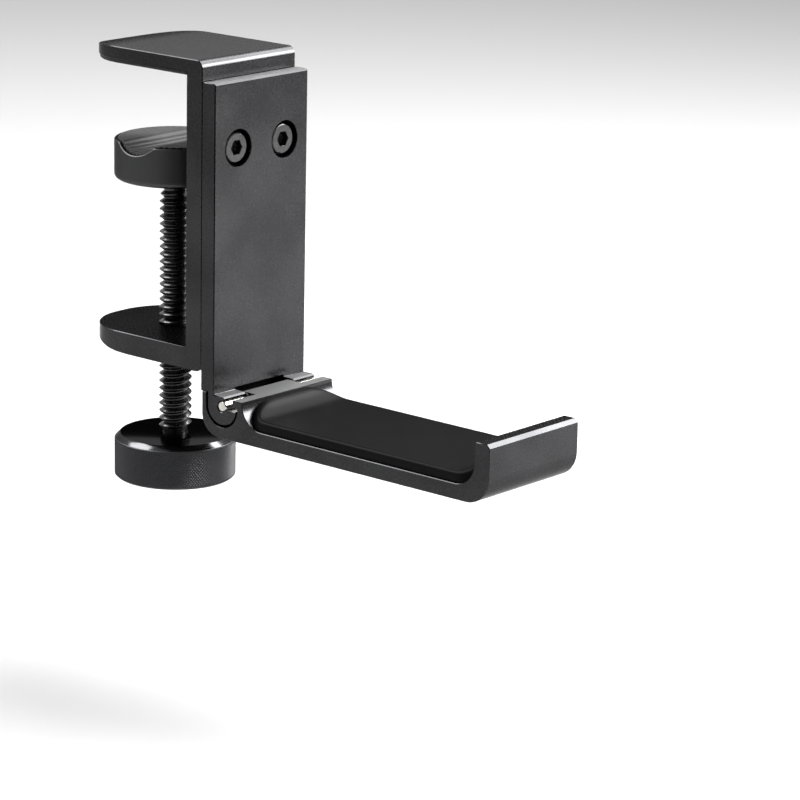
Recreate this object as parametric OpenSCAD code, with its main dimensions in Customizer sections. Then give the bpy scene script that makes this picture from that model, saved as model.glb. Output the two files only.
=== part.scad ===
// Folding headphone hook that clamps to a desk edge.
// Origin: on the underside of the upper jaw's liner, on the axis of the clamp screw.
// +Z is up, +Y runs into the desk, -Y runs out along the hook, X is across the width.

/* [Clamp frame] */
// Width of the clamp frame, the hinge plate and the hook arm
body_w = 30; // [26:0.5:40]
// Height of the mouth between the two metal jaws
mouth_h = 62; // [50:1:76]
// Depth of both jaws, from the inner face of the web
jaw_depth = 35; // [30:0.5:44]
// Corner radius of the jaw ends, seen from above
jaw_corner_r = 13.5; // [6:0.5:13.5]
// Thickness of the upper jaw at the web
upper_jaw_t = 2.9; // [2.4:0.1:4]
// Fall of the upper jaw's top towards its end
upper_jaw_fall = 1.4; // [0.4:0.1:1.6]
// Length over which the upper jaw's top falls
upper_jaw_fall_l = 13; // [8:0.5:16]
// Thickness of the lower jaw
lower_jaw_t = 5; // [4:0.5:7]
// Rise of the lower jaw's underside towards its end
lower_jaw_rise = 2.8; // [0.4:0.1:3]
// Length over which the lower jaw's underside rises
lower_jaw_rise_l = 17.5; // [8:0.5:20]
// Thickness of the web
web_t = 4.8; // [4:0.1:6.5]
// Radius of the frame's outer corners
frame_corner_r = 1.8; // [0.6:0.1:2.2]
// Thickness of the rubber liner under the upper jaw
liner_t = 0.8; // [0.5:0.1:1.5]
// Bare margin round the liner
liner_margin = 0.3; // [0.2:0.1:2]

/* [Clamp screw] */
// Thickness of the desk that is clamped at rest
desk_t = 18; // [12:1:30]
// Distance from the web's inner face to the clamp screw
screw_setback = 17.5; // [16:0.5:20]
// Crest diameter of the clamp screw's thread
thread_d = 7.5; // [6:0.5:9]
// Bare thread between the foot and the knob
thread_exposed_l = 59.6; // [52:0.1:72]
// Length of the plain shank inside the knob
shank_l = 8.4; // [6:0.2:10]
// Diameter of the plain shank inside the knob
shank_d = 6; // [5:0.5:8]
// Diameter of the journal that carries the foot
journal_d = 5; // [4:0.5:6]
// Length of the journal above the underside of the foot
journal_l = 5.2; // [4.6:0.1:5.6]

/* [Knob] */
// Diameter of the knurled knob
knob_d = 28; // [22:1:32]
// Height of the knob
knob_h = 10.2; // [9:0.2:14]
// Chamfer round the knob's upper rim
knob_top_chamfer = 1.3; // [0.5:0.1:2]
// Chamfer round the knob's lower rim
knob_base_chamfer = 0.6; // [0.3:0.1:1.5]

/* [Pressure foot] */
// Diameter of the foot
foot_d = 28; // [22:1:30]
// Height of the foot with its pad
foot_h = 9.4; // [9:0.2:12]
// Radius of the foot's lower edge
foot_edge_r = 1.3; // [0.5:0.1:2]
// Thickness of the foot's floor round the journal
foot_floor_t = 2.6; // [2:0.1:3]
// Diameter of the pocket that holds the snap ring
foot_pocket_d = 9; // [8.5:0.5:11]
// Depth of the groove across the pad, for round bars
groove_depth = 2.2; // [1:0.1:2.4]
// Width of the groove at the top of the pad
groove_w = 10.6; // [8:0.2:14]
// Thickness of the rubber pad
pad_t = 1.2; // [0.8:0.1:1.4]
// Height of the pad above the rim of the foot
pad_proud = 0.3; // [0.1:0.1:0.6]
// Width of the foot's bare rim
rim_w = 0.9; // [0.6:0.1:2]
// Thickness of the snap ring
ring_t = 0.8; // [0.6:0.1:1]
// Outer diameter of the snap ring
ring_d = 7.2; // [6.8:0.1:8]
// Depth of the groove that the snap ring sits in
ring_seat = 0.45; // [0.3:0.05:0.6]

/* [Hinge plate] */
// Thickness of the hinge plate
plate_t = 3.9; // [3.6:0.1:5]
// Step from the top of the clamp frame down to the top of the plate
plate_drop = 4.6; // [4.5:0.1:8]
// Bevel on the plate's top edges
plate_bevel = 0.4; // [0.2:0.1:0.8]
// Bevel on the plate's front side edges
plate_side_bevel = 0.2; // [0.1:0.1:0.6]
// Distance between the two plate screws
plate_screw_pitch = 15; // [12:0.5:18]
// Distance from the plate's top edge down to the screws
plate_screw_drop = 15; // [10:0.5:24]
// Diameter of a plate screw's head
head_d = 7; // [6:0.2:8]
// Height of a plate screw's head
head_h = 2.6; // [2:0.1:2.8]
// Depth of the screw heads below the plate's face
head_recess = 0.55; // [0.1:0.05:0.6]
// Diameter of the counterbore round a screw head
counterbore_d = 8.3; // [8.1:0.1:9]
// Thread diameter of a plate screw
plate_screw_d = 4; // [3:0.5:5]
// Width of the hexagon socket across its flats
hex_af = 3; // [2:0.5:3]
// Depth of the hexagon socket
hex_depth = 1.6; // [1:0.1:1.8]
// Distance from a plate screw's end to the web's inner face
screw_end_inset = 0.4; // [0.2:0.1:1]

/* [Hinge] */
// Distance from the underside of the clamp frame down to the hinge pin
pin_overhang = 6.6; // [6.4:0.1:10]
// Distance from the plate's front face to the hinge pin
pin_offset = 2.5; // [2.5:0.1:3]
// Diameter of the hinge pin
pin_d = 2.5; // [2:0.1:2.6]
// Distance from each end of the pin to the side of the arm
pin_inset = 0.15; // [0:0.05:0.5]
// Outer radius of the plate's knuckles
knuckle_r = 4.25; // [3.9:0.05:4.3]
// Width of the slot between the knuckles
knuckle_slot_w = 15.8; // [12:0.2:18]
// Height of the knuckles' ledge above the pin
ledge_rise = 2.2; // [2.1:0.1:2.4]
// Length of the ledge in front of the pin
ledge_nose = 0.7; // [0.5:0.1:0.9]
// Height of the plate's stop face above the pin
stop_rise = 2.6; // [2.5:0.1:3]
// Friction washer thickness
washer_t = 0.4; // [0.3:0.05:0.6]

/* [Hook arm] */
// Thickness of the arm under the cushion
arm_t = 3.5; // [3:0.1:5]
// Distance from the pin down to the underside of the arm
arm_drop = 7.3; // [7:0.1:9]
// Height of the arm's hinge block above the pin
block_rise = 2; // [1.8:0.1:2]
// Distance from the pin to the front of the hinge block
block_front = 6.1; // [5.8:0.1:8]
// Radius of the channel that the knuckles turn in
channel_r = 4.7; // [4.6:0.1:5]
// Distance from the pin to the back of the block's front wall
wall_back = 3.1; // [3:0.1:3.4]
// Thickness of the stop finger behind the knuckles
finger_t = 1.3; // [1:0.1:1.5]
// Radius of the arm's lower back corner
heel_r = 5; // [3:0.5:5]
// Thickness of the upturned lip
lip_t = 4.05; // [3:0.05:4.2]
// Outer radius where the arm turns up into the lip
lip_outer_r = 6.2; // [3:0.1:7]
// Inner radius where the arm turns up into the lip
lip_inner_r = 5.3; // [3:0.1:6]
// Bevel on the lip's outer top edge
lip_bevel = 0.8; // [0.3:0.1:1.2]

/* [Arm cushion] */
// Thickness of the cushion along the arm
cushion_t = 2.4; // [1.5:0.1:3]
// Thickness of the cushion where it climbs the block and the lip
cushion_end_t = 1.35; // [1:0.05:1.6]
// Bare margin on each side of the cushion
cushion_margin = 0.6; // [0.3:0.1:2]
// Corner radius of the cushion, seen from above
cushion_corner_r = 8.5; // [4:0.5:10]
// Radius of the hollow at each end of the cushion's top
cushion_hollow_r = 4.5; // [3:0.1:5]
// Height of the cushion's ends above the pin
cushion_end_rise = 1.5; // [1:0.1:1.6]

/* [Clearances] */
// Radial clearance of a turning or threaded fit
run_gap = 0.05; // [0.02:0.01:0.1]
// Radial clearance of a fixed pin, screw or shank
fixed_gap = 0.02; // [0.01:0.01:0.05]
// Side clearance of the arm's tongue next to each washer
side_gap = 0.05; // [0.02:0.01:0.1]
// Clearance at the stop face, when the arm is down
stop_gap = 0.05; // [0.02:0.01:0.1]
// Gap between the lip and the web when the arm is folded up
fold_gap = 0.15; // [0.1:0.05:0.5]
// Adhesive layer between the cushion and the arm
glue_t = 0.05; // [0.03:0.01:0.1]
// Gap between the foot and the thread's shoulder
shoulder_gap = 0.3; // [0.2:0.05:0.6]

/* [Hidden] */
$fn = 96;
over = 0.5;                                    // how far a cutting shape runs past what it cuts

web_in = -screw_setback;                       // Y of the web's inner face
web_out = web_in - web_t;                      // Y of the web's outer face
jaw_end = web_in + jaw_depth;                  // Y of the jaw ends
frame_top = liner_t + upper_jaw_t;
lower_jaw_top = liner_t - mouth_h;
frame_base = lower_jaw_top - lower_jaw_t;

plate_front = web_out - plate_t;
plate_top = frame_top - plate_drop;
plate_screw_z = plate_top - plate_screw_drop;
counterbore_depth = head_h + head_recess;
screw_reach = plate_t - counterbore_depth + web_t - screw_end_inset;

pin_y = plate_front - pin_offset;
pin_z = frame_base - pin_overhang;
knuckle_w = (body_w - knuckle_slot_w) / 2;
tongue_w = knuckle_slot_w - 2 * (washer_t + 2 * side_gap);
plate_back_u = pin_offset + plate_t;           // the plate's back face, measured from the pin
finger_out = channel_r + finger_t;
tongue_back = 0.6;                             // the tongue's top edge, behind the pin
tongue_r = norm([block_rise, tongue_back]);    // the tongue's round back
washer_r = block_rise - 0.05;                  // the washers stay just below the block's top
knuckle_back = knuckle_r - 0.05;               // the knuckle's flat back, just inside its round
lip_out = pin_z - frame_top;                   // folded up, the lip lies level with the frame's top
lip_in = lip_out + lip_t;
lip_rise = plate_back_u - fold_gap;
arm_top = arm_t - arm_drop;                    // height of the arm's top face from the pin
block_fillet_r = block_rise - arm_top - 0.05;  // the front curve ends just below the block's top

foot_top = -desk_t;
foot_base = foot_top - foot_h;
rim_top = foot_top - pad_proud;
groove_r = (pow(groove_w / 2, 2) + pow(groove_depth, 2)) / (2 * groove_depth);
groove_z = foot_top - groove_depth + groove_r; // height of the groove's centre line
pad_r = foot_d / 2 - rim_w;
thread_top = foot_base - shoulder_gap;
knob_top = foot_base - thread_exposed_l;
knob_base = knob_top - knob_h;
ring_z = foot_base + foot_floor_t + 0.2;       // underside of the snap ring's groove
ring_play = 0.05;                              // above and below the snap ring, in its groove

black_anodised = [0.16, 0.16, 0.165];
black_rubber = [0.07, 0.07, 0.07];
bright_steel = [0.78, 0.77, 0.74];

// The corner piece between two walls and a round of radius r, with its corner at the origin.
// Added, it fills an inner corner; taken away, it rounds an outer one.
module corner_piece(r)
    difference() {
        translate([-over, -over]) square(r + over);
        translate([r, r]) circle(r);
    }

// A triangle that bevels the outer corner at the origin.
module bevel_piece(size)
    polygon([[-over, -over], [size + over, -over], [-over, size + over]]);

// Carries a profile drawn as (Y, Z) across the width.
module across(width)
    translate([-width / 2, 0, 0]) rotate([90, 0, 90]) linear_extrude(width) children();

// Moves a profile that is measured from the hinge pin to its place.
module at_pin()
    translate([pin_y, pin_z]) children();

// A strip across the width with two rounded corners at its +Y end, seen from above.
module rounded_end(width, y_from, y_to, r)
    difference() {
        translate([-width / 2, y_from]) square([width, y_to - y_from]);
        translate([width / 2, y_to]) rotate(180) corner_piece(r);
        translate([-width / 2, y_to]) rotate(270) corner_piece(r);
    }

// ---- Clamp frame: one C-shaped extrusion ----

module frame_profile() {
    fall_r = (pow(upper_jaw_fall_l, 2) + pow(upper_jaw_fall, 2)) / (2 * upper_jaw_fall);
    fall_y = jaw_end - upper_jaw_fall_l;
    rise_r = (pow(lower_jaw_rise_l, 2) + pow(lower_jaw_rise, 2)) / (2 * lower_jaw_rise);
    rise_y = jaw_end - lower_jaw_rise_l;
    difference() {
        translate([web_out, frame_base]) square([jaw_end + over - web_out, frame_top - frame_base]);
        translate([web_in, lower_jaw_top]) square([jaw_depth + 2 * over, mouth_h]);
        translate([web_out, frame_top]) rotate(270) corner_piece(frame_corner_r);
        translate([web_out, frame_base]) corner_piece(frame_corner_r);
        difference() {
            translate([fall_y, frame_top - upper_jaw_t / 2 - 0.3])
                square([upper_jaw_fall_l + 2 * over, upper_jaw_t]);
            translate([fall_y, frame_top - fall_r]) circle(fall_r, $fn = 720);
        }
        difference() {
            translate([rise_y, frame_base - over]) square([lower_jaw_rise_l + 2 * over, lower_jaw_rise + 2 * over]);
            translate([rise_y, frame_base + rise_r]) circle(rise_r, $fn = 720);
        }
    }
}

module clamp_frame() {
    color(black_anodised)
    difference() {
        // the extrusion, with both jaw ends trimmed round
        intersection() {
            across(body_w) frame_profile();
            translate([0, 0, frame_base - over])
                linear_extrude(frame_top - frame_base + 2 * over)
                    rounded_end(body_w, web_out - over, jaw_end, jaw_corner_r);
        }
        // tapped hole for the clamp screw
        translate([0, 0, frame_base - over])
            cylinder(r = thread_d / 2 + run_gap, h = lower_jaw_t + 2 * over);
        // tapped holes for the plate screws
        for (x = [-1, 1] * plate_screw_pitch / 2)
            translate([x, web_in + over, plate_screw_z]) rotate([90, 0, 0])
                cylinder(r = plate_screw_d / 2 + fixed_gap, h = web_t + 2 * over);
    }
}

module upper_jaw_liner() {
    liner_w = body_w - 2 * liner_margin;
    color(black_rubber)
    linear_extrude(liner_t)
        rounded_end(liner_w, web_in + liner_margin, jaw_end - liner_margin, jaw_corner_r - liner_margin);
}

// ---- Hinge plate: flat extrusion with two hooked knuckles, measured from the pin ----

module plate_profile()
    difference() {
        translate([pin_offset, stop_rise])
            square([plate_t, plate_top - pin_z - stop_rise]);
        translate([pin_offset, plate_top - pin_z]) rotate(270) bevel_piece(plate_bevel);
        translate([plate_back_u, plate_top - pin_z]) rotate(180) bevel_piece(plate_bevel);
    }

// The knuckle wraps behind and below the pin and is open to the front, where the arm's wall passes.
module knuckle_profile() {
    tip_z = -0.55;
    ledge_bevel = 0.35;
    difference() {
        union() {
            intersection() {
                circle(knuckle_r);
                translate([-knuckle_r, -knuckle_r]) square([2 * knuckle_r, knuckle_r + tip_z]);
            }
            translate([-pin_d / 8, tip_z - over])
                square([knuckle_back + pin_d / 8, ledge_rise - tip_z + over]);
            translate([-ledge_nose, pin_d / 2]) square([pin_offset, ledge_rise - pin_d / 2]);
            translate([pin_offset, 0]) square([knuckle_back - pin_offset, stop_rise + over]);
        }
        circle(pin_d / 2 + fixed_gap);
        translate([-ledge_nose, ledge_rise]) rotate(270) bevel_piece(ledge_bevel);
    }
}

module hinge_plate() {
    color(black_anodised)
    difference() {
        union() {
            across(body_w) at_pin() plate_profile();
            for (side = [-1, 1])
                translate([side * (body_w - knuckle_w) / 2, 0, 0])
                    across(knuckle_w) at_pin() knuckle_profile();
        }
        for (x = [-1, 1] * plate_screw_pitch / 2)
            translate([x, plate_front, plate_screw_z]) rotate([-90, 0, 0]) {
                translate([0, 0, -over]) cylinder(d = counterbore_d, h = counterbore_depth + over);
                cylinder(r = plate_screw_d / 2 + fixed_gap + 0.1, h = plate_t + over);
            }
        // side edges bevelled
        for (side = [-1, 1])
            translate([side * body_w / 2, plate_front, pin_z + stop_rise - over])
                linear_extrude(plate_top - pin_z)
                    rotate(side > 0 ? 90 : 0) bevel_piece(plate_side_bevel);
    }
}

// One low-head socket screw, pointing along +Z from the underside of its head.
module socket_screw() {
    socket_d = hex_af / cos(30);
    difference() {
        union() {
            rotate_extrude()
                polygon([[0, -head_h], [head_d / 2 - 0.4, -head_h], [head_d / 2, 0.4 - head_h],
                         [head_d / 2, 0], [0, 0]]);
            cylinder(d = plate_screw_d, h = screw_reach);
        }
        translate([0, 0, -head_h - over]) cylinder(d = socket_d, h = hex_depth + over, $fn = 6);
    }
}

module plate_screws()
    color(black_anodised)
    for (x = [-1, 1] * plate_screw_pitch / 2)
        translate([x, plate_front + counterbore_depth, plate_screw_z]) rotate([-90, 0, 0]) socket_screw();

module hinge_pin() {
    pin_l = body_w - 2 * pin_inset;
    color(bright_steel)
    translate([-pin_l / 2, pin_y, pin_z]) rotate([0, 90, 0]) cylinder(d = pin_d, h = pin_l);
}

module hinge_washers()
    color("dimgray")
    for (side = [-1, 1])
        translate([side * (knuckle_slot_w / 2 - side_gap - washer_t / 2), pin_y, pin_z]) rotate([0, 90, 0])
            difference() {
                cylinder(r = washer_r, h = washer_t, center = true);
                cylinder(r = pin_d / 2 + run_gap, h = washer_t + 2 * over, center = true);
            }

// ---- Hook arm: J-shaped extrusion, measured from the pin ----

module arm_profile() {
    lip_edge_r = 0.5;
    difference() {
        union() {
            translate([lip_out, -arm_drop]) square([finger_out - lip_out, arm_t]);
            translate([-block_front, -arm_drop]) square([block_front + finger_out, arm_drop + block_rise]);
            translate([channel_r, 0]) square([finger_t, stop_rise - stop_gap]);
            translate([lip_out, -arm_drop]) square([lip_t, arm_drop + lip_rise]);
            translate([-block_front, arm_top]) rotate(90) corner_piece(block_fillet_r);
            translate([lip_in, arm_top]) corner_piece(lip_inner_r);
        }
        translate([lip_out, -arm_drop]) corner_piece(lip_outer_r);
        translate([finger_out, -arm_drop]) rotate(90) corner_piece(heel_r);
        translate([lip_out, lip_rise]) rotate(270) bevel_piece(lip_bevel);
        translate([lip_in, lip_rise]) rotate(180) corner_piece(lip_edge_r);
    }
}

// The channel behind the tongue, open at the top, in front of the stop finger.
module tongue_channel()
    difference() {
        union() {
            intersection() {
                circle(channel_r);
                translate([0, -channel_r]) square(channel_r);
            }
            translate([tongue_back, 0]) square([channel_r - tongue_back, stop_rise + over]);
        }
        circle(tongue_r);
        translate([-over, -channel_r - over]) square([tongue_r + over, channel_r + over]);
    }

// The pocket that a knuckle turns in, with the arm's wall left standing at the front.
module knuckle_pocket() {
    wall_base = 0.2;
    intersection() {
        circle(channel_r);
        translate([-channel_r, -channel_r]) square([2 * channel_r, channel_r + wall_base]);
    }
    translate([-wall_back, 0]) square([wall_back + channel_r, stop_rise + over]);
}

module hook_arm() {
    pocket_w = (body_w - tongue_w) / 2;
    color(black_anodised)
    difference() {
        across(body_w) at_pin() arm_profile();
        across(body_w + 2 * over) at_pin() tongue_channel();
        for (side = [-1, 1])
            translate([side * (body_w - pocket_w + over) / 2, 0, 0])
                across(pocket_w + over) at_pin() knuckle_pocket();
        translate([-body_w / 2, pin_y, pin_z]) rotate([0, 90, 0])
            cylinder(r = pin_d / 2 + run_gap, h = body_w);
    }
}

// The cushion lies on the arm and climbs the curves at both ends. Its top is hollow there too.
module cushion_profile() {
    hollow_from = lip_in + cushion_end_t;
    hollow_to = -block_front - cushion_end_t;
    cushion_top = arm_top + cushion_t;
    difference() {
        translate([lip_in + glue_t, arm_top + glue_t])
            square([-block_front - lip_in - 2 * glue_t, cushion_end_rise - arm_top - glue_t]);
        translate([-block_front - glue_t, arm_top + glue_t]) rotate(90) corner_piece(block_fillet_r);
        translate([lip_in + glue_t, arm_top + glue_t]) corner_piece(lip_inner_r);
        difference() {
            translate([hollow_from, cushion_top]) square([hollow_to - hollow_from, stop_rise - arm_top]);
            translate([hollow_from, cushion_top]) corner_piece(cushion_hollow_r);
            translate([hollow_to, cushion_top]) rotate(90) corner_piece(cushion_hollow_r);
        }
    }
}

module arm_cushion() {
    cushion_w = body_w - 2 * cushion_margin;
    y_from = pin_y + lip_in + glue_t;
    y_to = pin_y - block_front - glue_t;
    color(black_rubber)
    difference() {
        across(cushion_w) at_pin() cushion_profile();
        translate([0, 0, pin_z - arm_drop])
            linear_extrude(2 * arm_drop)
                for (side = [0, 1]) mirror([side, 0]) {
                    translate([cushion_w / 2, y_to]) rotate(180) corner_piece(cushion_corner_r);
                    translate([cushion_w / 2, y_from]) rotate(90) corner_piece(cushion_corner_r);
                }
    }
}

// ---- Clamp screw and knob ----

module clamp_screw() {
    journal_top = foot_base + journal_l;
    color(black_anodised)
    difference() {
        union() {
            translate([0, 0, knob_top]) cylinder(d = thread_d, h = thread_top - knob_top);
            translate([0, 0, knob_top - shank_l]) cylinder(d = shank_d, h = shank_l + over);
            translate([0, 0, thread_top - over]) cylinder(d = journal_d, h = journal_top - thread_top + over);
        }
        translate([0, 0, ring_z]) difference() {
            cylinder(d = journal_d + over, h = ring_t + 2 * ring_play);
            translate([0, 0, -over]) cylinder(r = journal_d / 2 - ring_seat, h = ring_t + 2 * over);
        }
    }
}

module clamp_knob() {
    shank_play = 0.1;                          // below the shank, in the knob's blind hole
    color(black_anodised)
    difference() {
        rotate_extrude()
            polygon([[0, knob_base], [knob_d / 2 - knob_base_chamfer, knob_base],
                     [knob_d / 2, knob_base + knob_base_chamfer], [knob_d / 2, knob_top - knob_top_chamfer],
                     [knob_d / 2 - knob_top_chamfer, knob_top], [0, knob_top]]);
        translate([0, 0, knob_top - shank_l - shank_play])
            cylinder(r = shank_d / 2 + fixed_gap, h = shank_l + shank_play + over);
    }
}

module foot_snap_ring()
    color(bright_steel)
    translate([0, 0, ring_z + ring_play]) difference() {
        cylinder(d = ring_d, h = ring_t);
        translate([0, 0, -over]) cylinder(r = journal_d / 2 - ring_seat + fixed_gap, h = ring_t + 2 * over);
    }

// ---- Pressure foot ----

// A bar across the foot whose underside is the groove, grown by extra.
module groove_bar(extra)
    translate([0, 0, groove_z]) rotate([0, 90, 0])
        cylinder(r = groove_r + extra, h = foot_d + 2, center = true, $fn = 180);

module foot_cup() {
    color(black_anodised)
    difference() {
        rotate_extrude() difference() {
            translate([0, foot_base]) square([foot_d / 2, rim_top - foot_base]);
            translate([foot_d / 2, foot_base]) rotate(90) corner_piece(foot_edge_r);
            translate([-foot_d, foot_base - over]) square([foot_d, foot_h + 2 * over]);
        }
        groove_bar(pad_proud);
        // bed of the pad
        intersection() {
            translate([0, 0, foot_base]) cylinder(r = pad_r + fixed_gap, h = foot_h);
            union() {
                groove_bar(pad_t + fixed_gap);
                translate([-foot_d / 2, -foot_d / 2, foot_top - pad_t - fixed_gap]) cube([foot_d, foot_d, foot_h]);
            }
        }
        translate([0, 0, foot_base + foot_floor_t]) cylinder(d = foot_pocket_d, h = foot_h);
        translate([0, 0, foot_base - over]) cylinder(r = journal_d / 2 + run_gap, h = foot_h);
    }
}

module foot_pad() {
    color(black_rubber)
    difference() {
        intersection() {
            translate([0, 0, foot_base]) cylinder(r = pad_r, h = foot_h);
            union() {
                groove_bar(pad_t);
                translate([-foot_d / 2, -foot_d / 2, foot_top - pad_t]) cube([foot_d, foot_d, pad_t]);
            }
        }
        groove_bar(0);
        translate([-foot_d / 2, -foot_d / 2, foot_top]) cube([foot_d, foot_d, groove_r * 2]);
    }
}

clamp_frame();
upper_jaw_liner();
hinge_plate();
plate_screws();
hinge_pin();
hinge_washers();
hook_arm();
arm_cushion();
clamp_screw();
clamp_knob();
foot_snap_ring();
foot_cup();
foot_pad();
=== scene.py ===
import math

import bmesh
import bpy
import numpy as np
from mathutils import Matrix, Vector


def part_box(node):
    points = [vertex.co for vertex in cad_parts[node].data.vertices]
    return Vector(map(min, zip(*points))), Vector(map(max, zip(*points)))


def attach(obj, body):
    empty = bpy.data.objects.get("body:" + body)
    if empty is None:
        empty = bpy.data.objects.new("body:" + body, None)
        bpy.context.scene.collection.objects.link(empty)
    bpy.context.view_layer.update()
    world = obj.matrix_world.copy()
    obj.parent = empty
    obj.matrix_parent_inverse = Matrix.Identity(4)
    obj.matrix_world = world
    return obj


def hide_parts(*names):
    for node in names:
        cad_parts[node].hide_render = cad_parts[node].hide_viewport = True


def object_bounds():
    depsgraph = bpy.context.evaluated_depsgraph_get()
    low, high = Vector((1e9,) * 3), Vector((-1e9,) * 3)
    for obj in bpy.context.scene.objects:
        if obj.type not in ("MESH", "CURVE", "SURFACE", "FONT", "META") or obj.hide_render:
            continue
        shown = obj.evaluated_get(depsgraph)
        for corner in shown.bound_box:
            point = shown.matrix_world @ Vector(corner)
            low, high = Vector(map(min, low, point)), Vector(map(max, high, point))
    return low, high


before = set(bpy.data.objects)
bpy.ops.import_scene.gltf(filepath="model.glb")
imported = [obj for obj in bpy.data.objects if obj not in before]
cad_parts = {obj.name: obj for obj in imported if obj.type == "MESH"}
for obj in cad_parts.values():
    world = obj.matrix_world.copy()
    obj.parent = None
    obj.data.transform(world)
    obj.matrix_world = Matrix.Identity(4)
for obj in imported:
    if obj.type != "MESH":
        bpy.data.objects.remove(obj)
cad_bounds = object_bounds()
scene = bpy.context.scene
mm = 0.001

# ---- Camera ----
# A long lens about 0.8 m away and a little above the hook, on the side where its arm swings out, and
# turned by about a degree.

heading = math.radians(49.69)   # from +Y towards +X
tilt_down = math.radians(15.0)
roll = math.radians(1.18)
camera = bpy.data.objects.new("camera", bpy.data.cameras.new("camera"))
camera.data.lens = 159.8
camera.data.sensor_width = 36
camera.matrix_world = (
    Matrix.Translation((-568.3 * mm, -549.9 * mm, 133.0 * mm))
    @ Matrix.Rotation(-heading, 4, "Z")
    @ Matrix.Rotation(math.pi / 2 - tilt_down, 4, "X")
    @ Matrix.Rotation(roll, 4, "Z")
)
scene.collection.objects.link(camera)
scene.camera = camera

# ---- Floor and light ----
# A pale floor below the knob and a pale room that is darker on the camera's side. A strip light draws the
# bright line along each broken edge, one light is overhead, and one brightens the floor that the plate
# mirrors. Two black cards keep the sides of the frame and the arm dark.


def linear(hex_colour):
    """A linear RGBA colour from an sRGB hex value.

    A channel c becomes c / 12.92 up to 0.04045, and ((c + 0.055) / 1.055) to the power 2.4 above it.
    """
    channels = [int(hex_colour[i:i + 2], 16) / 255 for i in (1, 3, 5)]
    return tuple(c / 12.92 if c <= 0.04045 else ((c + 0.055) / 1.055) ** 2.4 for c in channels) + (1.0,)


def add(tree, kind, sockets, **settings):
    """Adds a node with its settings. sockets gives its inputs, each a value or an output to link."""
    node = tree.nodes.new(kind)
    for name, value in settings.items():
        setattr(node, name, value)
    for name, value in sockets.items():
        if isinstance(value, bpy.types.NodeSocket):
            tree.links.new(value, node.inputs[name])
        else:
            node.inputs[name].default_value = value
    return node


def new_material(name):
    """An empty node material, and its node tree."""
    material = bpy.data.materials.new(name)
    material.use_nodes = True
    material.node_tree.nodes.clear()
    return material, material.node_tree


def new_object(name, points, faces):
    """A mesh object with these points and faces, smooth up to 30 degrees, at the origin."""
    mesh = bpy.data.meshes.new(name)
    mesh.from_pydata(points, [], faces)
    mesh.shade_smooth()
    mesh.set_sharp_from_angle(angle=math.radians(30))
    thing = bpy.data.objects.new(name, mesh)
    scene.collection.objects.link(thing)
    return thing


floor_drop = 34 * mm            # the knob stays above the floor when the clamp is wide open
floor_z = cad_bounds[0].z - floor_drop
floor_half = 3
centre = (cad_bounds[0] + cad_bounds[1]) / 2
paper, tree = new_material("pale_backdrop_paper")
surface = add(tree, "ShaderNodeBsdfPrincipled", {"Base Color": linear("#c2c2c2"), "Roughness": 0.8})
add(tree, "ShaderNodeOutputMaterial", {"Surface": surface.outputs["BSDF"]})
corners = ((-1, -1), (1, -1), (1, 1), (-1, 1))
floor = new_object("floor", [(x * floor_half, y * floor_half, floor_z) for x, y in corners], [(0, 1, 2, 3)])
floor.data.materials.append(paper)


def soft_light(name, direction, along, distance, size, radiance):
    """An area light that faces the object. size is its length, laid along a direction, and its width."""
    data = bpy.data.lights.new(name, "AREA")
    data.shape = "RECTANGLE"
    data.size, data.size_y = size
    data.energy = radiance * math.pi * size[0] * size[1]
    away = Vector(direction).normalized()
    side = (Vector(along) - away * away.dot(Vector(along))).normalized()
    light = bpy.data.objects.new(name, data)
    light.matrix_world = Matrix.Translation(centre + away * distance) @ Matrix(
        (side, away.cross(side), away)).transposed().to_4x4()
    scene.collection.objects.link(light)


def black_card(name, bearing, distance, span, low, high):
    """A black card that stands across a bearing, in degrees from +X, and shows in reflections only."""
    towards = Vector((math.cos(math.radians(bearing)), math.sin(math.radians(bearing)), 0))
    across = Vector((-towards.y, towards.x, 0))
    foot = [towards * distance + across * share for share in span]
    points = [(*foot[0].xy, low), (*foot[1].xy, low), (*foot[1].xy, high), (*foot[0].xy, high)]
    card = new_object(name, points, [(0, 1, 2, 3)])
    card.data.materials.append(velvet)
    card.visible_camera = False
    card.visible_diffuse = False
    card.visible_shadow = False


velvet, tree = new_material("black_card")
surface = add(tree, "ShaderNodeBsdfDiffuse", {"Color": linear("#080808")})
add(tree, "ShaderNodeOutputMaterial", {"Surface": surface.outputs["BSDF"]})

soft_light("strip_right", direction=(0.737, -0.23, 0.64), along=(0, -0.85, -0.5), distance=0.75,
           size=(1.15, 0.16), radiance=19)
soft_light("overhead", direction=(-0.26, 0.62, 0.74), along=(1, 0, 0), distance=0.80,
           size=(0.40, 0.40), radiance=12)
soft_light("front_floor", direction=(0.689, -0.587, 0.428), along=(1, 0, 0), distance=0.624,
           size=(0.30, 0.30), radiance=23)
card_foot = floor_z + 1 * mm
black_card("card_behind", bearing=40.3, distance=0.30, span=(-0.15, 0.09), low=card_foot, high=45 * mm)
black_card("card_before", bearing=220.3, distance=0.26, span=(-0.09, 0.09), low=card_foot, high=15 * mm)

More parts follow.
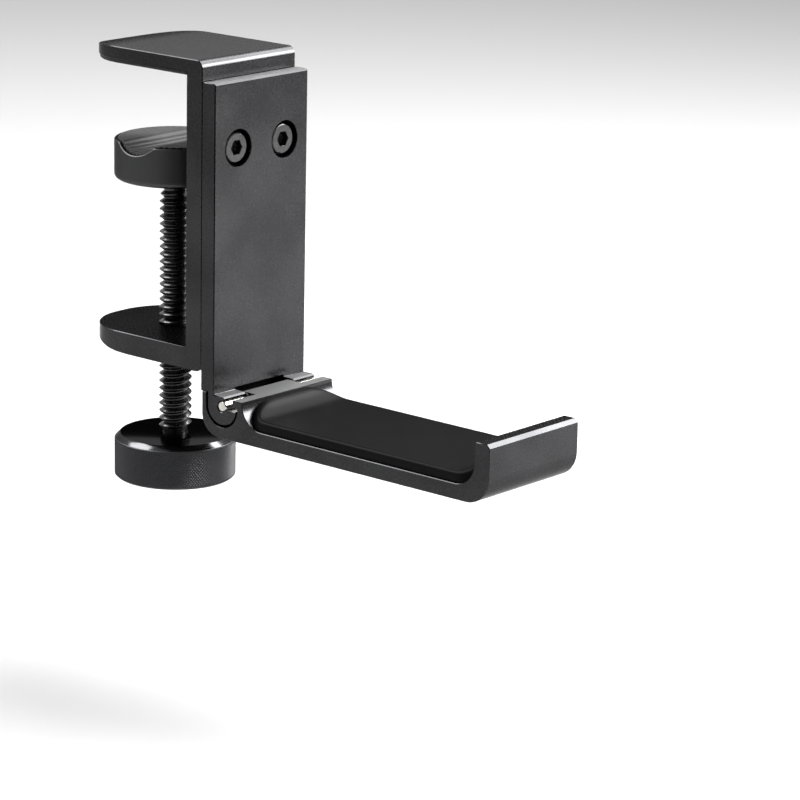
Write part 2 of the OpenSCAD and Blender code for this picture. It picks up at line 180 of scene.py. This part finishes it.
ahead = (0.76, 0.65, 0.0)       # away from the camera, level
world = bpy.data.worlds.new("pale_room")
scene.world = world
world.use_nodes = True
tree = world.node_tree
tree.nodes.clear()
sight = add(tree, "ShaderNodeTexCoord", {}).outputs["Generated"]
depth = add(tree, "ShaderNodeVectorMath", {0: sight, 1: ahead}, operation="DOT_PRODUCT")
share = add(tree, "ShaderNodeMapRange", {"Value": depth.outputs["Value"], "From Min": -0.6, "From Max": 0.7})
room = add(tree, "ShaderNodeMix", {0: share.outputs["Result"], 6: linear("#a0a0a0"), 7: linear("#ffffff")},
           data_type="RGBA")
seen = add(tree, "ShaderNodeBackground", {"Color": linear("#fafafa"), "Strength": 1.0})
lit = add(tree, "ShaderNodeBackground", {"Color": room.outputs[2], "Strength": 0.85})
ray = add(tree, "ShaderNodeLightPath", {})
sky = add(tree, "ShaderNodeMixShader", {
    "Fac": ray.outputs["Is Camera Ray"], 1: lit.outputs["Background"], 2: seen.outputs["Background"]})
add(tree, "ShaderNodeOutputWorld", {"Surface": sky.outputs["Shader"]})
scene.view_settings.view_transform = "Standard"

# ---- Clamp frame ----
# A C-shaped aluminium extrusion, sawn to width, with both jaw ends milled round. All its edges are
# broken, then it is bead-blasted and anodised black.


def finished_copy(node, name, edge):
    """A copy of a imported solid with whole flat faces, and a flat chamfer along each edge that is sharp.

    An edge is sharp where its two faces turn by more than 50 degrees. edge is how far the chamfer reaches
    into each of them.
    """
    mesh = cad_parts[node].data.copy()
    mesh.name = name
    mesh.materials.clear()
    work = bmesh.new()
    work.from_mesh(mesh)
    bmesh.ops.remove_doubles(work, verts=work.verts, dist=0.001 * mm)
    bmesh.ops.dissolve_limit(work, angle_limit=math.radians(0.3), verts=work.verts, edges=work.edges)
    corners = [e for e in work.edges if e.is_manifold and e.calc_face_angle() > math.radians(50)]
    bmesh.ops.bevel(work, geom=corners, offset=edge, offset_type="OFFSET", segments=1, profile=0.5,
                    affect="EDGES", clamp_overlap=False)
    work.to_mesh(mesh)
    work.free()
    mesh.shade_smooth()
    mesh.set_sharp_from_angle(angle=math.radians(30))
    piece = bpy.data.objects.new(name, mesh)
    scene.collection.objects.link(piece)
    even = piece.modifiers.new("even_shading", "WEIGHTED_NORMAL")
    even.weight = 80
    even.keep_sharp = True
    return piece


def fit(piece, body, slot, material, *nodes):
    """Gives a piece its material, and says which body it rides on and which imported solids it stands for."""
    piece.data.materials.append(material)
    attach(piece, body)
    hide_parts(*nodes)


grain_size = 0.4 * mm           # real blasted grain is about 0.1 mm, and is drawn coarse enough to show
cloud_size = 16 * mm            # of the slow change in shade that the bath leaves
blasted, tree = new_material("bead_blasted_black_anodised_aluminium")
# Anodic film dyed black over blasted aluminium: a dark metal with a soft, even sheen and a very fine
# grain. The film takes part of the light that skims it, so it is less bright at low angles than bare
# metal.
place = add(tree, "ShaderNodeTexCoord", {}).outputs["Object"]
grain = add(tree, "ShaderNodeTexNoise", {
    "Vector": place, "Scale": 1 / grain_size, "Detail": 3.0, "Roughness": 0.65})
cloud = add(tree, "ShaderNodeTexNoise", {"Vector": place, "Scale": 1 / cloud_size, "Detail": 2.0})
mottle = add(tree, "ShaderNodeMath", {0: grain.outputs["Fac"], 1: cloud.outputs["Fac"]}, operation="ADD")
tone = add(tree, "ShaderNodeMapRange", {
    "Value": mottle.outputs["Value"], "From Min": 0.75, "From Max": 1.25})
colour = add(tree, "ShaderNodeMix", {0: tone.outputs["Result"], 6: linear("#303031"), 7: linear("#3d3d3e")},
             data_type="RGBA")
rough = add(tree, "ShaderNodeMapRange", {
    "Value": grain.outputs["Fac"], "From Min": 0.3, "From Max": 0.7, "To Min": 0.20, "To Max": 0.30})
bump = add(tree, "ShaderNodeBump", {
    "Height": grain.outputs["Fac"], "Strength": 0.25, "Distance": 0.004 * mm})
surface = add(tree, "ShaderNodeBsdfPrincipled", {
    "Base Color": colour.outputs[2], "Metallic": 1.0, "Roughness": rough.outputs["Result"],
    "Specular Tint": linear("#cacaca"), "Normal": bump.outputs["Normal"]})
add(tree, "ShaderNodeOutputMaterial", {"Surface": surface.outputs["BSDF"]})

clamp_frame = finished_copy("clamp_frame", "c_frame", edge=0.15 * mm)
fit(clamp_frame, "clamp", "black_anodised", blasted, "clamp_frame")

# ---- Upper jaw liner ----
# A thin sheet of black rubber, die-cut to the jaw's outline and glued under it. It keeps the clamp from
# slipping and the desk from being marked.

leather_size = 0.6 * mm         # of the skin's wrinkles, drawn coarse enough to show
rubber, tree = new_material("die_cut_black_rubber_sheet")
# Calendered rubber: dull, a little lighter than black, with a faint leathery skin.
place = add(tree, "ShaderNodeTexCoord", {}).outputs["Object"]
skin = add(tree, "ShaderNodeTexNoise", {"Vector": place, "Scale": 1 / leather_size, "Detail": 4.0})
tone = add(tree, "ShaderNodeMix", {0: skin.outputs["Fac"], 6: linear("#131313"), 7: linear("#1f1f1f")},
           data_type="RGBA")
rough = add(tree, "ShaderNodeMapRange", {"Value": skin.outputs["Fac"], "To Min": 0.6, "To Max": 0.8})
bump = add(tree, "ShaderNodeBump", {"Height": skin.outputs["Fac"], "Strength": 0.4, "Distance": 0.03 * mm})
surface = add(tree, "ShaderNodeBsdfPrincipled", {
    "Base Color": tone.outputs[2], "Roughness": rough.outputs["Result"], "Normal": bump.outputs["Normal"]})
add(tree, "ShaderNodeOutputMaterial", {"Surface": surface.outputs["BSDF"]})

liner = finished_copy("upper_jaw_liner", "jaw_liner", edge=0.12 * mm)
fit(liner, "clamp", "black_rubber", rubber, "upper_jaw_liner")

# ---- Hinge plate ----
# A flat extrusion with two hooked knuckles at its foot and a small bevel along its edges, blasted and
# anodised like the frame. Two counterbores sink its screws. Its top and its knuckles' ledges carry a
# painted highlight: a paler metal that stands in for the light falling on these level faces.

plate = finished_copy("hinge_plate", "plate", edge=0.14 * mm)
fit(plate, "clamp", "black_anodised", blasted, "hinge_plate")

band_gap = 0.314                # a wave texture's bands are this far apart at a scale of 1
ledge_band_step = 0.35 * mm           # between the fine bands of the painted highlight
painted_light_tops, tree = new_material("ledge_tops_painted_light")
# Painted highlight: the level tops get a pale metal with fine bands, lighter than the black anodised
# faces round them, to stand in for the light that falls on them.
place = add(tree, "ShaderNodeTexCoord", {}).outputs["Object"]
ledge_light_bands = add(tree, "ShaderNodeTexWave", {
    "Vector": place, "Scale": band_gap / ledge_band_step, "Distortion": 2.0, "Detail": 2.0}, bands_direction="X")
colour = add(tree, "ShaderNodeMix", {0: ledge_light_bands.outputs["Fac"], 6: linear("#757575"), 7: linear("#838383")},
             data_type="RGBA")
rough = add(tree, "ShaderNodeMapRange", {"Value": ledge_light_bands.outputs["Fac"], "To Min": 0.5, "To Max": 0.65})
surface = add(tree, "ShaderNodeBsdfPrincipled", {
    "Base Color": colour.outputs[2], "Metallic": 1.0, "Roughness": rough.outputs["Result"]})
add(tree, "ShaderNodeOutputMaterial", {"Surface": surface.outputs["BSDF"]})


def paint_light_on_level_faces(piece, material, levels, reach_y):
    """Gives the level faces within 0.3 mm of some levels a paler material, a painted highlight, unless past
    reach_y.
    """
    mesh = piece.data
    middles = np.empty(3 * len(mesh.polygons))
    normals = np.empty(3 * len(mesh.polygons))
    mesh.polygons.foreach_get("center", middles)
    mesh.polygons.foreach_get("normal", normals)
    middles, normals = middles.reshape(-1, 3), normals.reshape(-1, 3)
    near = abs(middles[:, 2:] - np.array(levels)).min(axis=1) < 0.3 * mm
    level = near & (normals[:, 2] > 0.99) & (middles[:, 1] > reach_y)
    mesh.materials.append(material)
    mesh.polygons.foreach_set("material_index", level.astype(int) * (len(mesh.materials) - 1))


hinge_low, hinge_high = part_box("hinge_pin")
ledge_z = (hinge_low.z + hinge_high.z) / 2 + 2.2 * mm
ledge_reach = hinge_low.y - 8 * mm
plate_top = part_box("hinge_plate")[1].z
# The plate's top and its ledges get the painted highlight.
paint_light_on_level_faces(plate, painted_light_tops, [ledge_z, plate_top], ledge_reach)

# ---- Plate screws ----
# Two low-head socket screws of hardened steel, finished in black oxide. They hold the plate to the frame,
# with their heads sunk below its face.

stain_size = 2.5 * mm
oxide, tree = new_material("black_oxide_hardened_steel")
# Hot-blacked steel under a film of oil: near black, with a satin shine and faint brown-blue clouds.
place = add(tree, "ShaderNodeTexCoord", {}).outputs["Object"]
cloud = add(tree, "ShaderNodeTexNoise", {"Vector": place, "Scale": 1 / stain_size, "Detail": 4.0})
colour = add(tree, "ShaderNodeMix", {0: cloud.outputs["Fac"], 6: linear("#404042"), 7: linear("#4a4a49")},
             data_type="RGBA")
rough = add(tree, "ShaderNodeMapRange", {"Value": cloud.outputs["Fac"], "To Min": 0.2, "To Max": 0.34})
surface = add(tree, "ShaderNodeBsdfPrincipled", {
    "Base Color": colour.outputs[2], "Metallic": 1.0, "Roughness": rough.outputs["Result"]})
add(tree, "ShaderNodeOutputMaterial", {"Surface": surface.outputs["BSDF"]})

screws = finished_copy("plate_screws", "socket_screws", edge=0.14 * mm)
fit(screws, "clamp", "black_steel", oxide, "plate_screws")

# ---- Hinge pin and washers ----
# A ground steel dowel with chamfered ends, pressed through the knuckles, and two stamped washers of black
# nylon that give the arm its friction.


def revolve(radii, heights, around):
    """Points of a turned shape: each ring has its radius and height, and points at equal angles."""
    angle = np.linspace(0, 2 * np.pi, around, endpoint=False)
    radii, heights = np.asarray(radii)[:, None], np.asarray(heights)[:, None]
    return np.stack(np.broadcast_arrays(radii * np.cos(angle), radii * np.sin(angle), heights), axis=-1)


def tube_faces(rings, around):
    """Quads between rings that follow one another, closed all round. They face outwards if rings rise."""
    j, i = np.meshgrid(np.arange(rings - 1), np.arange(around), indexing="ij")
    turn = (i + 1) % around
    corners = (j * around + i, j * around + turn, (j + 1) * around + turn, (j + 1) * around + i)
    return np.stack(corners, axis=-1).reshape(-1, 4)


def sealed(name, points, faces):
    """A closed object from grids whose poles and seams still hold doubled points."""
    thing = new_object(name, points.reshape(-1, 3).tolist(), faces)
    work = bmesh.new()
    work.from_mesh(thing.data)
    bmesh.ops.remove_doubles(work, verts=work.verts, dist=0.0005 * mm)
    bmesh.ops.dissolve_degenerate(work, dist=0.0005 * mm, edges=work.edges)
    bmesh.ops.recalc_face_normals(work, faces=work.faces)
    work.to_mesh(thing.data)
    work.free()
    thing.data.shade_smooth()
    thing.data.set_sharp_from_angle(angle=math.radians(30))
    return thing


grind_step = 0.24 * mm          # between the rings, which are far finer on the real pin
ground, tree = new_material("centreless_ground_steel")
# Bright steel with the fine rings that grinding leaves round it, so its shine is drawn out along the pin.
place = add(tree, "ShaderNodeTexCoord", {}).outputs["Object"]
rings = add(tree, "ShaderNodeTexWave", {
    "Vector": place, "Scale": band_gap / grind_step, "Distortion": 1.5, "Detail": 2.0}, bands_direction="X")
rough = add(tree, "ShaderNodeMapRange", {"Value": rings.outputs["Fac"], "To Min": 0.18, "To Max": 0.3})
colour = add(tree, "ShaderNodeMix", {0: rings.outputs["Fac"], 6: linear("#c2bfb9"), 7: linear("#d6d4cf")},
             data_type="RGBA")
surface = add(tree, "ShaderNodeBsdfPrincipled", {
    "Base Color": colour.outputs[2], "Metallic": 1.0, "Roughness": rough.outputs["Result"]})
add(tree, "ShaderNodeOutputMaterial", {"Surface": surface.outputs["BSDF"]})

pin_centre = (hinge_low + hinge_high) / 2
pin_r = (hinge_high.z - hinge_low.z) / 2
pin_half = (hinge_high.x - hinge_low.x) / 2
pin_chamfer = 0.25 * mm
pin_around = 48
along = np.array([-pin_half, -pin_half, pin_chamfer - pin_half, pin_half - pin_chamfer, pin_half, pin_half])
radii = np.array([0, pin_r - pin_chamfer, pin_r, pin_r, pin_r - pin_chamfer, 0])
shape = revolve(radii, along, pin_around)[..., [2, 0, 1]] + np.array(pin_centre)
pin = sealed("dowel_pin", shape, tube_faces(len(radii), pin_around).tolist())
fit(pin, "clamp", "bright_steel", ground, "hinge_pin")

wax_size = 0.4 * mm
nylon, tree = new_material("black_nylon")
# Stamped nylon sheet: black, smooth and a little waxy.
place = add(tree, "ShaderNodeTexCoord", {}).outputs["Object"]
wax = add(tree, "ShaderNodeTexNoise", {"Vector": place, "Scale": 1 / wax_size})
rough = add(tree, "ShaderNodeMapRange", {"Value": wax.outputs["Fac"], "To Min": 0.4, "To Max": 0.55})
surface = add(tree, "ShaderNodeBsdfPrincipled", {
    "Base Color": linear("#1c1c1c"), "Roughness": rough.outputs["Result"]})
add(tree, "ShaderNodeOutputMaterial", {"Surface": surface.outputs["BSDF"]})
washers = finished_copy("hinge_washers", "friction_washers", edge=0.03 * mm)
fit(washers, "clamp", "nylon", nylon, "hinge_washers")

# ---- Hook arm ----
# A J-shaped extrusion with a hinge block at one end and an upturned lip at the other, milled to make room
# for the knuckles, then blasted and anodised like the frame. The block's top carries the same painted
# highlight as the ledges, a paler metal for the light that falls on it.

arm = finished_copy("hook_arm", "swing_arm", edge=0.13 * mm)
fit(arm, "arm", "black_anodised", blasted, "hook_arm")
# The block's top gets the painted highlight.
paint_light_on_level_faces(arm, painted_light_tops, [ledge_z], ledge_reach)

# ---- Arm cushion ----
# A moulded strip of black silicone, glued along the arm. It climbs the curves at both ends, where it gets
# thinner, and all its upper edges are rounded.

low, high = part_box("arm_cushion")
bed_z = low.z
end_z = high.z
cushion_thick = 2.35 * mm
block_curve_r = 5.7 * mm        # of the underside, where it climbs the hinge block
lip_curve_r = 5.25 * mm         # of the underside, where it climbs the lip
hollow_r = 4.5 * mm             # of the top, at both ends
end_thick = 1.35 * mm
glue_t = 0.05 * mm
corner_r = 8.5 * mm
edge_r = 0.9 * mm
wall_share = 0.55               # of the thickness that is an upright wall, below the rounded edge


def arc(centre, radius, start, stop, count):
    """Points of an arc in the YZ plane, between two angles in degrees from +Y towards +Z."""
    angle = np.radians(np.linspace(start, stop, count))
    return np.stack([centre[0] + radius * np.cos(angle), centre[1] + radius * np.sin(angle)], axis=-1)


def turn_at_rise(radius, rise):
    """How far an arc that starts level has turned when it has risen by rise, in degrees."""
    return math.degrees(math.acos(max(-1.0, 1 - rise / radius)))


def curved_strip(curve_rs, inset, base_z, count=24):
    """A path in the YZ plane from the block to the lip: an arc down, a level run and an arc up to end_z."""
    r_block, r_lip = curve_rs
    y_block = high.y - inset - r_block
    y_lip = low.y + inset + r_lip
    turn_block = turn_at_rise(r_block, end_z - base_z)
    turn_lip = turn_at_rise(r_lip, end_z - base_z)
    down = arc((y_block, base_z + r_block), r_block, turn_block - 90, -90, count)
    run = np.stack([np.linspace(y_block, y_lip, 2 * count), np.full(2 * count, base_z)], axis=-1)
    up = arc((y_lip, base_z + r_lip), r_lip, -90, -90 - turn_lip, count)
    return np.concatenate([down, run[1:-1], up])


under = curved_strip((block_curve_r, lip_curve_r), 0.0, bed_z)
upper = curved_strip((hollow_r, hollow_r), end_thick - glue_t, bed_z + cushion_thick)
lengths = np.concatenate([[0], np.cumsum(np.linalg.norm(np.diff(under, axis=0), axis=1))])


def rounded_outline(half_l, half_w, radius, corner_steps=10, long_steps=40, short_steps=8):
    """A rounded rectangle as (length, width) points, anticlockwise, with as many points at any size.

    Each corner is a quarter turn about its middle, and a straight side leads from it to the next.
    """
    turns = np.radians(np.linspace(0, 90, corner_steps, endpoint=False))
    parts = []
    for k, (sx, sy) in enumerate(((1, 1), (-1, 1), (-1, -1), (1, -1))):
        middle = np.array([sx * (half_l - radius), sy * (half_w - radius)])
        angle = turns + k * np.pi / 2
        bend = middle + radius * np.stack([np.cos(angle), np.sin(angle)], axis=-1)
        steps = long_steps if k % 2 == 0 else short_steps
        nx, ny = ((-1, 1), (-1, -1), (1, -1), (1, 1))[k]
        start = middle + radius * np.array([np.cos((k + 1) * np.pi / 2), np.sin((k + 1) * np.pi / 2)])
        next_middle = np.array([nx * (half_l - radius), ny * (half_w - radius)])
        stop = next_middle + radius * np.array([np.cos((k + 1) * np.pi / 2), np.sin((k + 1) * np.pi / 2)])
        share = np.linspace(0, 1, steps, endpoint=False)[:, None]
        parts += [bend, start + (stop - start) * share]
    return np.concatenate(parts)


def cushion_rows():
    """Rows of (length, width) points with their share of the thickness: out below, up, in along the top.

    Inside the edge, a row lies part of the way from the inset outline to the strip's middle line. Round the
    edge it is inset by edge_r (1 - cos of the turn) and rises with the sine of the turn.
    """
    half_l, half_w = lengths[-1] / 2, (high.x - low.x) / 2
    inner = rounded_outline(half_l - edge_r, half_w - edge_r, corner_r - edge_r)
    middle = np.clip(inner[:, 0], half_w - half_l, half_l - half_w)
    spine = np.stack([middle, np.zeros(len(inner))], axis=-1)
    rows = []
    for share in (1, 0.8, 0.6, 0.4, 0.2, 0):
        rows.append((inner + (spine - inner) * share, 0.0))
    rows.append((rounded_outline(half_l, half_w, corner_r), 0.0))
    for turn in np.radians(np.linspace(0, 90, 8)):
        inset = edge_r * (1 - math.cos(turn))
        outline = rounded_outline(half_l - inset, half_w - inset, corner_r - inset)
        rows.append((outline, wall_share + (1 - wall_share) * math.sin(turn)))
    for share in np.linspace(0, 1, 13)[1:]:
        rows.append((inner + (spine - inner) * share, 1.0))
    return rows


rows = cushion_rows()
plan = np.stack([row for row, _ in rows])
lift = np.array([share for _, share in rows])[:, None, None]
position = plan[..., 0] + lengths[-1] / 2
bottom = np.stack([np.interp(position, lengths, under[:, k]) for k in (0, 1)], axis=-1)
top = np.stack([np.interp(position, lengths, upper[:, k]) for k in (0, 1)], axis=-1)
section = bottom + (top - bottom) * lift
shape = np.stack([plan[..., 1], section[..., 0], section[..., 1]], axis=-1)
cushion = sealed("silicone_cushion", shape, tube_faces(len(rows), plan.shape[1]).tolist())

etch_size = 0.35 * mm           # the mould's etching is finer, and is drawn coarse enough to show
bloom_size = 9 * mm
silicone, tree = new_material("moulded_black_silicone")
# Silicone from a finely etched mould: a soft, deep black with a weak, broad sheen.
place = add(tree, "ShaderNodeTexCoord", {}).outputs["Object"]
etch = add(tree, "ShaderNodeTexNoise", {
    "Vector": place, "Scale": 1 / etch_size, "Detail": 3.0, "Roughness": 0.7})
cloud = add(tree, "ShaderNodeTexNoise", {"Vector": place, "Scale": 1 / bloom_size, "Detail": 3.0})
colour = add(tree, "ShaderNodeMix", {0: cloud.outputs["Fac"], 6: linear("#090909"), 7: linear("#101010")},
             data_type="RGBA")
rough = add(tree, "ShaderNodeMapRange", {"Value": etch.outputs["Fac"], "To Min": 0.36, "To Max": 0.5})
bump = add(tree, "ShaderNodeBump", {"Height": etch.outputs["Fac"], "Strength": 0.25, "Distance": 0.02 * mm})
surface = add(tree, "ShaderNodeBsdfPrincipled", {
    "Base Color": colour.outputs[2], "Roughness": rough.outputs["Result"], "IOR": 1.41,
    "Normal": bump.outputs["Normal"]})
matt = add(tree, "ShaderNodeBsdfDiffuse", {"Color": colour.outputs[2], "Normal": bump.outputs["Normal"]})
velvety = add(tree, "ShaderNodeMixShader", {
    "Fac": 0.2, 1: matt.outputs["BSDF"], 2: surface.outputs["BSDF"]})
add(tree, "ShaderNodeOutputMaterial", {"Surface": velvety.outputs["Shader"]})
fit(cushion, "arm", "black_rubber", silicone, "arm_cushion")

# ---- Clamp screw ----
# A steel spindle with a rolled thread, finished in black oxide. Its plain lower end is fixed in the knob,
# and a journal at its top turns in the foot.

screw_low, screw_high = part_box("clamp_screw")
knob_low, knob_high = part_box("clamp_knob")
foot_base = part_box("foot_cup")[0].z
shoulder_gap = 0.3 * mm         # between the thread's shoulder and the foot
crest_r = screw_high.x
thread_depth = 0.95 * mm
core_r = crest_r - thread_depth
pitch = 1.75 * mm
shank_r = 3.0 * mm
journal_r = 2.5 * mm
thread_low = knob_high.z
thread_high = foot_base - shoulder_gap
turn_steps = 48
turns = int((thread_high - thread_low) / pitch - 1.3)
start_gap = 0.15 * mm           # from the knob to the thread's start, and past its last turn
fade_in, fade_out = 0.3, 0.8    # turns over which the thread rises and dies away
root_flat, flank_run = 0.1, 0.78    # shares of half a pitch
flank_shares = np.array([0, 0.05, 0.16, 0.27, 0.38, 0.46, 0.5, 0.54, 0.62, 0.73, 0.84, 0.95])


def threaded_rod():
    """The points and faces of a right-hand thread that is one strip wound round a turned rod.

    The strip's point at turn t and share s of the pitch stands at the angle 2 pi t and the height
    pitch (t + s) above its start. Its radius is the core's plus the thread's depth times a flank that is 0
    at both edges and 1 half way, and it fades to the core in the first and last turn. An edge of the strip
    that has no next turn to join is closed by a ring of faces to a level circle, where a turned end begins.
    """
    steps, count = turns * turn_steps, len(flank_shares)
    flank = np.clip((1 - abs(2 * flank_shares - 1) - root_flat) / flank_run, 0, 1)
    t = np.arange(steps + 1)[:, None] / turn_steps
    start_z = thread_low + start_gap
    fade = np.clip(np.minimum(t / fade_in, (turns - t) / fade_out), 0, 1)
    radius = core_r + thread_depth * fade * flank
    angle = 2 * np.pi * t
    strip = np.stack([radius * np.cos(angle), radius * np.sin(angle),
                      start_z + pitch * (t + flank_shares)], axis=-1).reshape(-1, 3)
    i, j = np.meshgrid(np.arange(steps), np.arange(count), indexing="ij")
    here = i * count + j
    above = np.where(j + 1 < count, here + 1, (i + turn_steps) * count)
    whole = (above + count) < (steps + 1) * count
    whole |= j + 1 < count
    faces = np.stack([here, here + count, above + count, above], axis=-1)[whole].tolist()

    tip_r = 0.4 * mm
    low_r = [0, shank_r - tip_r, shank_r, shank_r, core_r, core_r]
    low_z = [screw_low.z, screw_low.z, screw_low.z + tip_r, thread_low - 0.02 * mm, thread_low - 0.02 * mm,
             start_z - 0.08 * mm]
    high_r = [core_r, core_r, journal_r, journal_r, journal_r - tip_r, 0]
    high_z = [start_z + (turns + 1) * pitch + start_gap, thread_high, thread_high, screw_high.z - tip_r,
              screw_high.z, screw_high.z]
    base = len(strip)
    below = revolve(low_r, low_z, turn_steps).reshape(-1, 3)
    over = revolve(high_r, high_z, turn_steps).reshape(-1, 3)
    faces += (tube_faces(len(low_r), turn_steps) + base).tolist()
    faces += (tube_faces(len(high_r), turn_steps) + base + len(below)).tolist()
    rim = base + len(below) - turn_steps + np.arange(turn_steps)
    first = np.arange(turn_steps + 1) * count
    ring = np.stack([rim[:-1], rim[1:], first[1:-1], first[:-2]], axis=-1).tolist()
    faces += ring + [[rim[-1], rim[0], *range(count), first[-1], first[-2]]]
    lip = base + len(below) + np.arange(turn_steps)
    final = (steps - turn_steps + np.arange(turn_steps + 1)) * count + count - 1
    ring = np.stack([final[1:-1], final[2:], np.roll(lip, -2)[:-1], lip[1:]], axis=-1).tolist()
    faces += ring + [[final[0], final[1], lip[1], lip[0], *range(final[-1], final[-1] - count, -1)]]
    return np.concatenate([strip, below, over]), faces


points, faces = threaded_rod()
spindle = sealed("threaded_spindle", points, faces)
fit(spindle, "spindle", "black_steel", oxide, "clamp_screw")

# ---- Knob ----
# Turned from aluminium bar, diamond-knurled, chamfered at its top and base, and anodised black over the
# bright cut. Its blind bore takes the spindle's shank.

diamonds_around = 126
diamonds_high = 10
knurl_depth = 0.18 * mm
knob_r = knob_high.x
top_chamfer = 1.3 * mm
base_chamfer = 0.6 * mm
bore_r = shank_r + 0.01 * mm


def knurled_knob():
    """The points and faces of a turned knob whose band is a lattice of four-sided points.

    Lattice point (i, k) stands at the angle pi i / diamonds_around in row k. It is a peak where i + k is
    even and a pit, one knurl depth lower, where it is odd. The first and last rows lie on the cones of the
    two chamfers.
    """
    columns, rows = 2 * diamonds_around, 2 * diamonds_high + 1
    angle = np.pi * np.arange(columns) / diamonds_around
    k, i = np.meshgrid(np.arange(rows), np.arange(columns), indexing="ij")
    radius = knob_r - knurl_depth * ((i + k) % 2)
    band_low, band_high = knob_low.z + base_chamfer, knob_high.z - top_chamfer
    height = band_low + (band_high - band_low) * k / (rows - 1)
    height = height - (k == 0) * (knob_r - radius) + (k == rows - 1) * (knob_r - radius)
    face_r, edge = knob_r - top_chamfer, 0.1 * mm
    below = [(0, 0), (knob_r - base_chamfer - edge, 0), (knob_r - base_chamfer, 0.3 * edge)]
    above = [(face_r, -0.4 * edge), (face_r - edge, 0), (bore_r, 0), (bore_r, screw_low.z - knob_high.z),
             (0, screw_low.z - knob_high.z)]
    below_r, below_z = np.array(below).T[..., None] * np.ones(columns)
    above_r, above_z = np.array(above).T[..., None] * np.ones(columns)
    turned_r = np.concatenate([below_r, radius, above_r])
    turned_z = np.concatenate([below_z + knob_low.z, height, above_z + knob_high.z])
    points = np.stack([turned_r * np.cos(angle), turned_r * np.sin(angle), turned_z], axis=-1)
    quads = tube_faces(len(turned_r), columns)
    row, column = quads[:, 0] // columns - len(below), quads[:, 0] % columns
    band = (row >= 0) & (row < rows - 1)
    peak, pit = quads[band & ((row + column) % 2 == 0)], quads[band & ((row + column) % 2 == 1)]
    halves = np.concatenate([peak[:, [0, 1, 3]], peak[:, [1, 2, 3]], pit[:, [0, 1, 2]], pit[:, [0, 2, 3]]])
    return points.reshape(-1, 3), quads[~band].tolist() + halves.tolist()


points, faces = knurled_knob()
knob = sealed("knurled_knob", points, faces)

tool_step = 0.4 * mm            # between the tool's rings, which are finer on the real knob
turned, tree = new_material("bright_turned_black_anodised_aluminium")
# Cut with a sharp tool and anodised without blasting: a glossy dark film with faint rings from the tool.
# Round its outside, from 13.75 mm out, it is rougher, so the knurl and the foot's wall don't mirror the
# room.
place = add(tree, "ShaderNodeTexCoord", {}).outputs["Object"]
tool = add(tree, "ShaderNodeTexWave", {
    "Vector": place, "Scale": band_gap / tool_step, "Distortion": 0.4, "Detail": 1.0},
    wave_type="RINGS", rings_direction="Z")
flat = add(tree, "ShaderNodeVectorMath", {0: place, 1: (1, 1, 0)}, operation="MULTIPLY")
out = add(tree, "ShaderNodeVectorMath", {0: flat.outputs["Vector"]}, operation="LENGTH")
knurled = add(tree, "ShaderNodeMapRange", {
    "Value": out.outputs["Value"], "From Min": 13.7 * mm, "From Max": 13.8 * mm,
    "To Min": 0.0, "To Max": 0.3})
shine = add(tree, "ShaderNodeMapRange", {"Value": tool.outputs["Fac"], "To Min": 0.12, "To Max": 0.18})
rough = add(tree, "ShaderNodeMath", {0: shine.outputs["Result"], 1: knurled.outputs["Result"]},
            operation="ADD")
colour = add(tree, "ShaderNodeMix", {0: tool.outputs["Fac"], 6: linear("#464647"), 7: linear("#4c4c4e")},
             data_type="RGBA")
surface = add(tree, "ShaderNodeBsdfPrincipled", {
    "Base Color": colour.outputs[2], "Metallic": 1.0, "Roughness": rough.outputs["Value"],
    "Specular Tint": linear("#b4b4b4")})
add(tree, "ShaderNodeOutputMaterial", {"Surface": surface.outputs["BSDF"]})
fit(knob, "spindle", "black_anodised", turned, "clamp_knob")

# ---- Foot ----
# A turned aluminium cup with a groove milled across it, anodised black like the knob, and a ring of
# spring steel that keeps it on the spindle's journal.

foot = finished_copy("foot_cup", "pressure_foot", edge=0.2 * mm)
fit(foot, "foot", "black_anodised", turned, "foot_cup")
ring = finished_copy("foot_snap_ring", "retaining_ring", edge=0.04 * mm)
fit(ring, "spindle", "bright_steel", ground, "foot_snap_ring")

# ---- Foot pad ----
# A moulded rubber disc, glued into the foot, that grips the underside of the desk. It is ribbed across
# and dips into the foot's groove.

rib_step = 1.1 * mm             # between two ribs
rib_height = 0.25 * mm
ribbed, tree = new_material("ribbed_black_rubber")
# Moulded rubber with fine ribs across it, dull black, lighter on the ribs' crests and darker between them.
place = add(tree, "ShaderNodeTexCoord", {}).outputs["Object"]
ribs = add(tree, "ShaderNodeTexWave", {"Vector": place, "Scale": band_gap / rib_step}, bands_direction="Y")
colour = add(tree, "ShaderNodeMix", {0: ribs.outputs["Fac"], 6: linear("#0b0b0b"), 7: linear("#1c1c1c")},
             data_type="RGBA")
bump = add(tree, "ShaderNodeBump", {"Height": ribs.outputs["Fac"], "Distance": rib_height})
surface = add(tree, "ShaderNodeBsdfPrincipled", {
    "Base Color": colour.outputs[2], "Roughness": 0.62, "Normal": bump.outputs["Normal"]})
add(tree, "ShaderNodeOutputMaterial", {"Surface": surface.outputs["BSDF"]})
pad = finished_copy("foot_pad", "ribbed_pad", edge=0.1 * mm)
fit(pad, "foot", "black_rubber", ribbed, "foot_pad")
